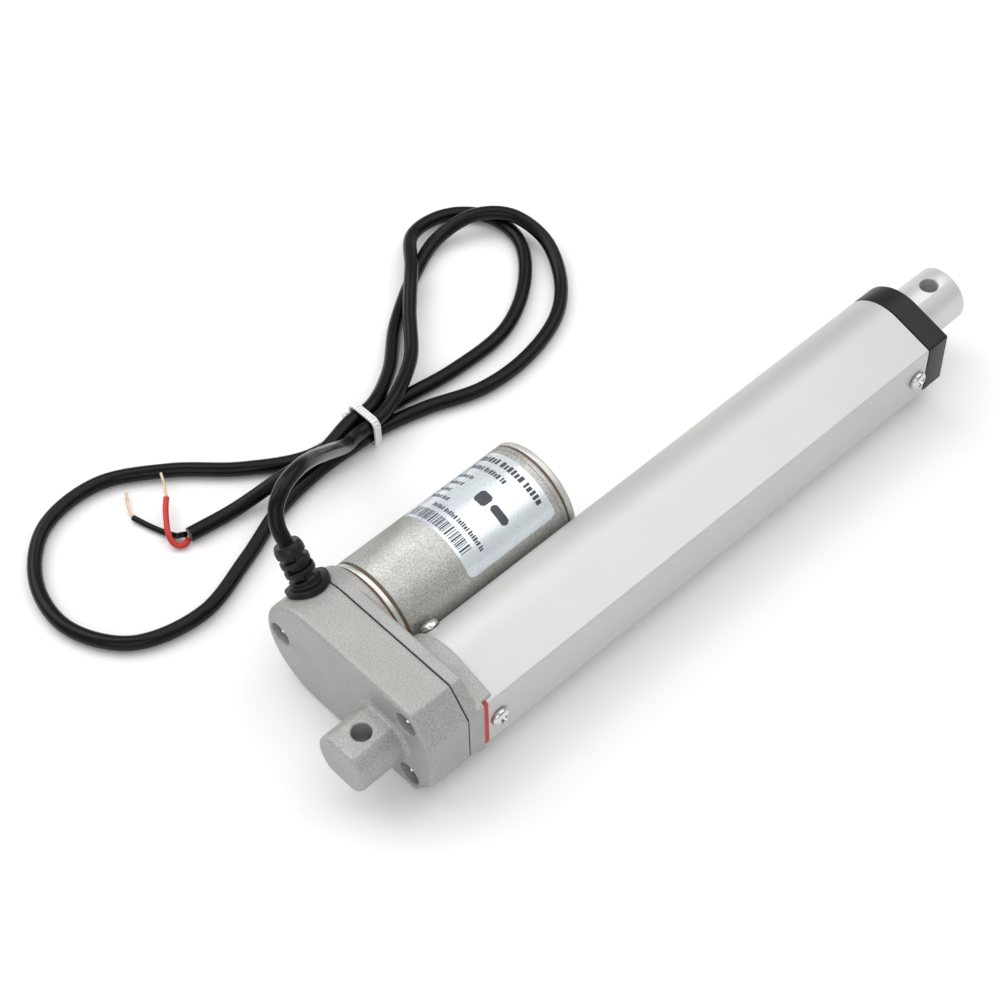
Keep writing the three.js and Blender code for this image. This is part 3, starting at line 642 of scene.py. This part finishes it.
def eye(x, chamfered):
    """A cutter for the cross hole, with or without a small chamfer at its mouths."""
    profile = [(0, -12), (PIN_RADIUS, -12), (PIN_RADIUS, 12), (0, 12)]
    if chamfered:
        mouth = PIN_RADIUS + 0.45
        profile = [(0, -12), (4.5, -12), (mouth, -ROD_RADIUS), (PIN_RADIUS, -9.5),
                   (PIN_RADIUS, 9.5), (mouth, ROD_RADIUS), (4.5, 12), (0, 12)]
    cutter = turned("eye", profile, (x, 0, 0), (0, 0, 1), 64)
    turn_out(cutter)
    return cutter


def push_rod():
    start = 58.3
    profile = [(7, start), (ROD_RADIUS, start), (ROD_RADIUS, ROD_END - 0.7),
               (ROD_RADIUS - 0.2, ROD_END - 0.25), (ROD_RADIUS - 0.7, ROD_END),
               (7.15, ROD_END), (7, ROD_END - 0.15)]
    body = along_x("push_rod_bar", profile, sides=128)
    turn_out(body)
    body = cut(body, eye(PIN_SPACING, True))
    soften(body, 25)
    return finish_piece(body, ROD, "rod", ["push_rod"])


def rod_plug():
    end = ROD_END - 0.25
    body = along_x("rod_plug_bar", [(0, 241), (6.75, 241), (6.75, end - 0.3), (6.45, end), (0, end)],
                   sides=96)
    turn_out(body)
    body = cut(body, eye(PIN_SPACING + 0.25, False))
    soften(body, 25)
    return finish_piece(body, ROD, "rod", ["rod_plug"])


# ---------------------------------------------------------------- motor
def motor_ring(name, node, profile, finish):
    piece = along_x(name, profile, MOTOR_Y, 0, 128, 30)
    turn_out(piece)
    return finish_piece(piece, finish, "housing", [node])


def motor():
    outer = MOTOR_RADIUS
    gasket = along_x("motor_gasket_seal",
                     [(6.4, 31.7), (outer - 0.1, 31.7), (outer - 0.1, 32.25), (6.4, 32.25)],
                     MOTOR_Y, 0, 96)
    turn_out(gasket)
    finish_piece(gasket, BROWN_SEAL, "housing", ["motor_gasket"])
    plate = [(3.3, 32.4), (outer - 0.6, 32.4), (outer - 0.15, 32.6), (outer, 33.0), (outer, 34.0),
             (outer - 0.25, 34.25), (3.3, 34.25)]
    motor_ring("motor_front_plate_ring", "motor_front_plate", plate, FACE)
    can = [(16.9, 35.2), (outer - 0.4, 35.2), (outer - 0.1, 35.35), (outer, 35.6), (outer, 98.9)]
    can += [(outer - 0.2, 99.0), (outer - 0.2, 99.2), (outer, 99.3), (outer, CAN_END - 0.7),
            (outer - 0.1, CAN_END - 0.45), (outer - 0.4, CAN_END - 0.3), (16.9, CAN_END - 0.3)]
    motor_ring("motor_can_shell", "motor_can", can, ZINC)
    cap = [(0, CAN_END + 0.3), (outer - 0.6, CAN_END + 0.3), (outer - 0.1, CAN_END + 0.55),
           (outer, CAN_END + 0.9), (outer, MOTOR_END - 1.1), (outer - 0.35, MOTOR_END - 0.4),
           (outer - 1.1, MOTOR_END - 0.05), (14.6, MOTOR_END - 0.05), (14.0, MOTOR_END - 0.7),
           (7.0, MOTOR_END - 0.7), (6.5, MOTOR_END - 0.05), (1.9, MOTOR_END), (1.6, MOTOR_END - 0.7),
           (0, MOTOR_END - 0.7)]
    motor_ring("motor_rear_cap_cast", "motor_rear_cap", cap, ZINC_END)
    # Dark sealing compound in the joints at both ends of the can.
    for name, start, end in (("motor_joint_front", 34.2, 35.25), ("motor_joint_rear", 100.85, 101.6)):
        joint = along_x(name, [(16.0, start), (outer - 0.3, start), (outer - 0.3, end), (16.0, end)],
                        MOTOR_Y, 0, 96)
        turn_out(joint)
        finish_piece(joint, RUST, "housing", [])
    # Three staked rivets on the rear cap.
    for k in range(3):
        angle = math.radians(90 + 120 * k)
        rivet = along_x(f"motor_rivet_{k + 1}",
                        [(0, MOTOR_END - 0.8), (1.3, MOTOR_END - 0.8), (1.2, MOTOR_END - 0.45),
                         (0.6, MOTOR_END - 0.2), (0, MOTOR_END - 0.15)],
                        MOTOR_Y + 10.6 * math.cos(angle), 10.6 * math.sin(angle), 24)
        turn_out(rivet)
        finish_piece(rivet, GROUND, "housing", [])


def wrapped(x_range, angle_range, radius, thick, rounded):
    """Points and faces of a thin plate wrapped on the can; angles in degrees from +Y."""
    half_length = (x_range[1] - x_range[0]) / 2
    middle_x = (x_range[1] + x_range[0]) / 2
    half_arc = math.radians(angle_range[1] - angle_range[0]) * radius / 2
    middle_angle = math.radians(angle_range[1] + angle_range[0]) / 2
    rows = max(2, int(half_arc * 2 / 0.7))
    points, faces = [], []
    for row in range(rows + 1):
        arc = -half_arc + 2 * half_arc * row / rows
        over = max(0.0, abs(arc) - (half_arc - rounded))
        trim = rounded - math.sqrt(max(0.0, rounded ** 2 - over ** 2)) if rounded else 0.0
        angle = middle_angle + arc / radius
        for level in (radius, radius + thick):
            for sign in (-1, 1):
                x = middle_x + sign * (half_length - trim)
                points.append((x, MOTOR_Y + level * math.cos(angle), level * math.sin(angle)))
    for row in range(rows):
        a = row * 4
        b = a + 4
        faces += [(a, b, b + 1, a + 1), (a + 2, a + 3, b + 3, b + 2),
                  (a, a + 2, b + 2, b), (a + 1, b + 1, b + 3, a + 3)]
    end = rows * 4
    faces += [(0, 1, 3, 2), (end, end + 2, end + 3, end + 1)]
    return points, faces


def wrapped_piece(name, cells, radius, thick, rounded, finish):
    """One piece from several wrapped plates, each (x_range, angle_range)."""
    points, faces = [], []
    for x_range, angle_range in cells:
        more, more_faces = wrapped(x_range, angle_range, radius, thick, rounded)
        faces += [tuple(i + len(points) for i in face) for face in more_faces]
        points += more
    piece = mesh_piece(name, points, faces, 40)
    turn_out(piece)
    return finish_piece(piece, finish, "housing", [])


# Printed rows run around the can: (middle x, height, first angle, last angle, block width).
LABEL_ROWS = [
    (68.6, 1.7, 63, 136, 2.3), (72.4, 1.6, 44, 72, 2.6), (76.2, 1.6, 44, 64, 2.6), (80.0, 1.6, 44, 66, 2.6),
    (83.8, 1.6, 44, 70, 2.6), (89.0, 2.0, 46, 99, 3.0), (93.6, 2.4, 44, 136, 4.4)]
BAR_WIDTHS = [1.6, 0.7, 0.7, 2.0, 0.9, 1.3, 0.6, 1.8, 0.7, 1.1]
BAR_SPAN = (48, 127)


def label():
    """Silver label with plain blocks and bars where a maker would print."""
    wrapped_piece("label_plate", [((60.5, 97.0), (38, 153))], MOTOR_RADIUS + 0.02, 0.08, 2.0,
                  FOIL)
    level = MOTOR_RADIUS + 0.1
    cells = []
    for x, height, first, last, width in LABEL_ROWS:
        angle = first
        k = 0
        while angle + width < last:
            length = width * (0.75, 1.0, 0.6, 0.9, 0.7)[k % 5]
            cells.append(((x - height / 2, x + height / 2 - 0.35 * (k % 3 == 1)), (angle, angle + length)))
            angle += length + width * (0.9 if k % 6 == 5 else 0.35)
            k += 1
    angle = BAR_SPAN[0]
    k = 0
    while angle < BAR_SPAN[1]:
        width = BAR_WIDTHS[k % len(BAR_WIDTHS)]
        cells.append(((61.7, 66.0), (angle, angle + width)))
        angle += width + BAR_WIDTHS[(k * 3 + 1) % len(BAR_WIDTHS)]
        k += 1
    wrapped_piece("label_print", cells, level, 0.02, 0, INK)
    mark = [((77.4, 82.4), (88, 103)), ((78.6, 81.6), (107, 130))]
    wrapped_piece("label_mark", mark, level, 0.02, 1.0, INK)


# ---------------------------------------------------------------- cord outlet
def grommet():
    flange = turned("cable_grommet_moulding", [(0, 0), (7.3, 0), (7.3, 6), (0, 6)],
                    on_grommet(17.5), GROMMET_OUT, 64)
    turn_out(flange)
    shell = along_x("shell", [(CASE_RADIUS + 0.25, 11), (CASE_RADIUS + 2.2, 11), (CASE_RADIUS + 2.2, 29),
                              (CASE_RADIUS + 0.25, 29)], MOTOR_Y, 0, 128)
    turn_out(shell)
    flange = combine(flange, [shell], "INTERSECT")
    profile = [(0, 0), (2.8, 0), (2.8, 4.6), (4.95, 4.6), (4.95, 7.0)]
    for k in range(3):
        start = 7.0 + 3.4 * k
        ring = 4.9 - 0.08 * k
        profile += [(3.2, start + 0.15), (3.2, start + 1.55), (ring, start + 1.7), (ring, start + 3.4)]
    profile += [(4.5, 18.2), (4.0, 19.2), (0, 19.2)]
    body = turned("body", profile, on_grommet(16.6), GROMMET_OUT, 48)
    turn_out(body)
    flange = join(flange, body)
    along = Vector(GROMMET_OUT)
    for k in range(3):
        # Webs between the rings, each pair a quarter turn from the last.
        across = Vector((1, 0, 0)) if k % 2 else along.cross(Vector((1, 0, 0)))
        beside = along.cross(across)
        middle = Vector(on_grommet(16.6 + 7.0 + 3.4 * k + 0.85))
        points = []
        for a in (-1, 1):
            for b in (-1, 1):
                for c in (-1, 1):
                    points.append(tuple(middle + across * a * 4.55 + beside * b * 1.1 + along * c * 1.1))
        web = mesh_piece("web", points, BOX_FACES)
        turn_out(web)
        flange = join(flange, web)
    # A small moulded dot on the flange.
    dot = turned("dot", [(0, 0), (0.9, 0), (0.9, 3.2), (0.6, 3.5), (0, 3.5)],
                 (GROMMET_X - 5.2, *on_grommet(19.3)[1:]), GROMMET_OUT, 24)
    turn_out(dot)
    flange = join(flange, dot)
    flange = cast(flange, 0.17, 2)
    return finish_piece(flange, BLACK, "housing", ["cable_grommet"])


# ---------------------------------------------------------------- cord
# The lead: out of the grommet and down to the tie, right loop, left loop, second right loop, and
# the stripped end. (x, y, height above the surface) in mm, as in the solid model.
CORD_ROUTE = [
    (20, 55.33, 49.74), (20.3, 58.4, 54.1), (22.6, 61.4, 58.2), (28, 64, 61.2), (36, 67, 60.2),
    (44.3, 71, 54.4), (52, 75.6, 46.2), (59.3, 80.6, 37.4), (66, 85.8, 28.4), (71.8, 91, 20),
    (77, 95.3, 13.4), (83, 98.5, 9.9), (90.5, 99.3, 9.2), (98, 100.4, 9.1), (106.5, 104, 8.7),
    (121, 113.5, 7.2), (135, 129.5, 7.6), (149, 144, 8.3), (162, 158, 5.4), (175, 160, 3.4),
    (184, 156, 2.7), (190.5, 146.5, 2.6), (189.5, 131.5, 2.8), (177, 115.5, 2.7), (156, 103.5, 2.7),
    (130, 102, 2.7), (109, 104.5, 2.9), (95, 105, 3.7), (85, 105, 4.1), (69, 107.5, 2.7),
    (50, 119, 2.7), (32, 135.5, 2.7), (11, 147.5, 2.7), (-12, 145, 2.7), (-27.5, 128.5, 2.7),
    (-31, 107.5, 2.7), (-20, 88.5, 2.7), (3, 82, 2.7), (27, 89, 2.7), (49, 97.5, 2.7), (69, 100.5, 2.9),
    (84.5, 99.5, 4.2), (95, 99.5, 3.3), (112, 96, 2.7), (132, 89, 2.7), (153, 89, 2.7), (174, 96, 2.7),
    (188, 109, 2.8), (195, 124.5, 5.3), (192.5, 139, 8.1), (183, 148.5, 7.5), (168, 151.5, 4),
    (152, 145.5, 2.8), (130, 131.5, 2.9), (112, 115, 5.4), (95, 105, 9.2), (86, 104.8, 9.3),
    (71, 102, 8.3), (55, 104, 6.8), (37, 107, 3), (20, 109.5, 2.7),
]
RED_ROUTE = [(19.3, 109.2, 1.5), (17.3, 108.4, 1.4), (15.3, 109, 1.5), (14.3, 111, 2.2),
             (15, 114, 3.6), (17.8, 118.5, 4), (21, 122.9, 3.9), (23.6, 125.7, 4.4)]
RED_TIP = [(23.8, 126, 4.45), (26.4, 130.4, 4.9), (28.4, 134.5, 5.2)]
BLACK_ROUTE = [(18.8, 109.8, 3.7), (18.1, 111.2, 2.8), (17.3, 113, 1.4), (15.8, 116, 1.2),
               (14, 120.9, 1.2), (12.8, 125, 1.2), (11.8, 128.9, 1.2)]
BLACK_TIP = [(11.8, 129.25, 1.2), (13.3, 133.4, 1.4), (16.3, 138.3, 1.7)]
CORD_RADIUS = 2.5
WIRE_RADIUS = 1.0
TIE = (90.0, 102.0)


def curve_points(route, steps=12):
    """Centripetal Catmull-Rom points through the route, in mm about the rod axis."""
    knots = [Vector((x, y, height + FLOOR)) for x, y, height in route]
    knots = [2 * knots[0] - knots[1], *knots, 2 * knots[-1] - knots[-2]]
    points = []
    for p0, p1, p2, p3 in zip(knots, knots[1:], knots[2:], knots[3:]):
        d0, d1, d2 = (math.sqrt((b - a).length) for a, b in ((p0, p1), (p1, p2), (p2, p3)))
        t1 = ((p1 - p0) / d0 - (p2 - p0) / (d0 + d1) + (p2 - p1) / d1) * d1
        t2 = ((p2 - p1) / d1 - (p3 - p1) / (d1 + d2) + (p3 - p2) / d2) * d1
        for k in range(steps):
            t = k / steps
            points.append(p1 + t1 * t + (3 * (p2 - p1) - 2 * t1 - t2) * t * t
                          + (2 * (p1 - p2) + t1 + t2) * t ** 3)
    points.append(knots[-2])
    return points


def tube_curve(name, points, radius):
    data = bpy.data.curves.new(name, "CURVE")
    data.dimensions = "3D"
    data.bevel_depth = radius * MM
    data.bevel_resolution = 7
    data.use_fill_caps = True
    line = data.splines.new("POLY")
    line.points.add(len(points) - 1)
    for point, place in zip(line.points, points):
        point.co = (*at(*place), 1.0)
    line.use_smooth = True
    piece = bpy.data.objects.new(name, data)
    bpy.context.scene.collection.objects.link(piece)
    return piece


def wire_tip(name, node, route):
    """Seven tinned strands with a slow twist."""
    line = curve_points(route, 10)
    strand_radius = 0.19
    strand_reach = 0.32
    strands = []
    for k in range(7):
        points = []
        for i, place in enumerate(line):
            ahead = line[min(i + 1, len(line) - 1)] - line[max(i - 1, 0)]
            across = ahead.cross(Vector((0, 0, 1))).normalized()
            up = across.cross(ahead).normalized()
            angle = 2 * math.pi * k / 6 + i * 0.22
            reach = 0 if k == 6 else strand_reach
            points.append(place + (across * math.cos(angle) + up * math.sin(angle)) * reach)
        strands.append(tube_curve(f"{name}_strand", points, strand_radius))
    tip = evaluate_curves(name, strands)
    return finish_piece(tip, TINNED, "housing", [node])


def evaluate_curves(name, curves):
    """One mesh object from several curves."""
    bpy.context.view_layer.update()
    graph = bpy.context.evaluated_depsgraph_get()
    points, faces = [], []
    for curve in curves:
        mesh = bpy.data.meshes.new_from_object(curve.evaluated_get(graph))
        offset = len(points)
        points += [v.co.copy() for v in mesh.vertices]
        faces += [tuple(i + offset for i in p.vertices) for p in mesh.polygons]
        bpy.data.objects.remove(curve)
    mesh = bpy.data.meshes.new(name)
    mesh.from_pydata(points, [], faces)
    piece = bpy.data.objects.new(name, mesh)
    bpy.context.scene.collection.objects.link(piece)
    soften(piece, 40)
    return piece


def cable_tie():
    """A ribbed strap around the bundle, with its locking head and the cut tail."""
    half = 5.95
    middle = 6.6 + FLOOR
    top = middle + half
    bottom = middle - half + 0.45
    y_low = TIE[1] - half
    y_high = TIE[1] + half
    corner = 2.2
    path = []
    for cy, cz, start in ((y_high - corner, top - corner, 0), (y_low + corner, top - corner, 90),
                          (y_low + corner, bottom + corner, 180), (y_high - corner, bottom + corner, 270)):
        for k in range(7):
            angle = math.radians(start + 15 * k)
            outward = (math.cos(angle), math.sin(angle))
            path.append((cy + corner * outward[0], cz + corner * outward[1], *outward))
    dense = []
    for (y0, z0, a0, b0), (y1, z1, a1, b1) in zip(path, path[1:] + path[:1]):
        length = math.hypot(y1 - y0, z1 - z0)
        steps = max(1, round(length / 0.3))
        dense += [(y0 + (y1 - y0) * k / steps, z0 + (z1 - z0) * k / steps,
                   a0 + (a1 - a0) * k / steps, b0 + (b1 - b0) * k / steps) for k in range(steps)]
    points, faces = [], []
    half_width = 1.25
    thick = 0.82
    valley = 0.30
    for i, (y, z, ny, nz) in enumerate(dense):
        rib = thick if i % 4 < 2 else valley
        section = [(-half_width, 0.02), (-half_width, thick), (-half_width + 0.35, thick),
                   (-half_width + 0.4, rib), (half_width - 0.4, rib), (half_width - 0.35, thick),
                   (half_width, thick), (half_width, 0.02)]
        points += [(TIE[0] + x, y + ny * out, z + nz * out) for x, out in section]
    count = 8
    total = len(dense)
    for i in range(total):
        for k in range(count):
            n = (k + 1) % count
            j = (i + 1) % total
            faces.append((i * count + k, i * count + n, j * count + n, j * count + k))
    strap = mesh_piece("cable_tie_strap", points, faces, 30)
    turn_out(strap)
    head = block("head", (TIE[0] - 2.2, y_high + 0.5, FLOOR + 1.1),
                 (TIE[0] + 2.2, y_high + 3.8, FLOOR + 6.2))
    turn_out(head)
    head = cut(head, block("slot", (TIE[0] - 1.35, y_high + 1.6, FLOOR),
                           (TIE[0] + 1.35, y_high + 3.0, FLOOR + 8)))
    head = bevelled(head, 0.4)
    head.name = "cable_tie_head"
    tail = block("cable_tie_tail", (TIE[0] - 1.2, y_high + 1.75, FLOOR + 0.6),
                 (TIE[0] + 1.2, y_high + 2.85, FLOOR + 7.2))
    turn_out(tail)
    bevelled(tail, 0.15)
    finish_piece(strap, NYLON, "housing", ["cable_tie"])
    finish_piece(head, NYLON, "housing", [])
    finish_piece(tail, NYLON, "housing", [])
    return [strap, head, tail]


def cord_and_wires():
    line = curve_points(CORD_ROUTE)
    cord = tube_curve("power_cord_jacket", line, CORD_RADIUS)
    finish_piece(cord, PVC, "housing", ["power_cord"])
    pieces = []
    for name, node, route, finish, slot in (
            ("red_wire_insulation", "red_wire", RED_ROUTE, RED_PVC, "red_pvc"),
            ("black_wire_insulation", "black_wire", BLACK_ROUTE, PVC, "black_pvc")):
        wire = tube_curve(name, curve_points(route), WIRE_RADIUS)
        pieces.append(finish_piece(wire, finish, "housing", [node]))
    pieces.append(wire_tip("red_wire_strands", "red_wire_tip", RED_TIP))
    pieces.append(wire_tip("black_wire_strands", "black_wire_tip", BLACK_TIP))
    pieces += cable_tie()


cord_and_wires()
rear_cover()
case_gasket()
front_housing()
outer_tube()
tube_gasket()
front_cap()
rod_wiper()
push_rod()
rod_plug()
motor()
label()
grommet()
for number, (y, z) in enumerate(COVER_SCREWS):
    cover_screw(f"cover_screw_{number + 1}", y, z, 30.0 if y > 0 else 28.2)

SIDE_OUT = (0, -1, 0)
UPPER_OUT = (0, math.cos(ROUND_ANGLE), math.sin(ROUND_ANGLE))
LOWER_OUT = (0, math.cos(ROUND_ANGLE), -math.sin(ROUND_ANGLE))


def seat(x, out):
    reach = TUBE_SIDE + 0.2 if out == SIDE_OUT else TUBE_RADIUS + 0.2
    return (x, out[1] * reach, out[2] * reach)


for node, x, out in (
        ("tube_screw_1", SCREW_SIDE_X, SIDE_OUT), ("tube_screw_2", SCREW_ROUND_X, UPPER_OUT),
        ("tube_screw_3", SCREW_ROUND_X, LOWER_OUT), ("cap_screw_1", SCREW_FRONT_X, SIDE_OUT),
        ("cap_screw_2", SCREW_FRONT_X, LOWER_OUT)):
    pan_screw(node, seat(x, out), out, 6.0 if out == SIDE_OUT else 3.6)

# ---------------------------------------------------------------- the pieces that keep their solids
for part in frame["record"]["subparts"]:
    node = frame["nodes"][part["node"]]
    finish = SLOT_FINISH[part["material_slot"]]
    if node.material_slots:
        node.material_slots[0].material = finish
    else:
        node.data.materials.append(finish)


# ---------------------------------------------------------------- floor and light
def area_light(name, place, target, size, power, colour=(1, 1, 1)):
    data = bpy.data.lights.new(name, "AREA")
    data.shape = "RECTANGLE"
    data.size, data.size_y = size
    data.energy = power
    data.color = colour
    light = bpy.data.objects.new(name, data)
    bpy.context.scene.collection.objects.link(light)
    light.location = place
    light.rotation_euler = (Vector(target) - Vector(place)).to_track_quat("-Z", "Y").to_euler()


def studio():
    mesh = bpy.data.meshes.new("floor")
    size = 6.0
    corners = [(-size, -size, 0), (size, -size, 0), (size, size, 0), (-size, size, 0)]
    mesh.from_pydata(corners, [], [(0, 1, 2, 3)])
    floor = bpy.data.objects.new("floor", mesh)
    bpy.context.scene.collection.objects.link(floor)
    floor.location.z = -0.0002
    made, _, shader = new_material("floor")
    shader.inputs["Base Color"].default_value = (0.93, 0.93, 0.93, 1)
    shader.inputs["Roughness"].default_value = 0.9
    mesh.materials.append(made)
    world = bpy.data.worlds.new("studio")
    world.use_nodes = True
    world.node_tree.nodes["Background"].inputs["Color"].default_value = (1, 1, 1, 1)
    world.node_tree.nodes["Background"].inputs["Strength"].default_value = 0.50
    bpy.context.scene.world = world
    middle = (0, 0.02, 0.02)
    area_light("key", (0.48, -0.10, 1.15), middle, (1.5, 1.5), 9)
    area_light("back", (-0.30, 0.90, 1.0), middle, (1.2, 1.2), 9)
    area_light("fill", (-1.1, -0.8, 0.9), middle, (1.2, 1.2), 5)
    bpy.context.scene.view_settings.view_transform = "Standard"


studio()
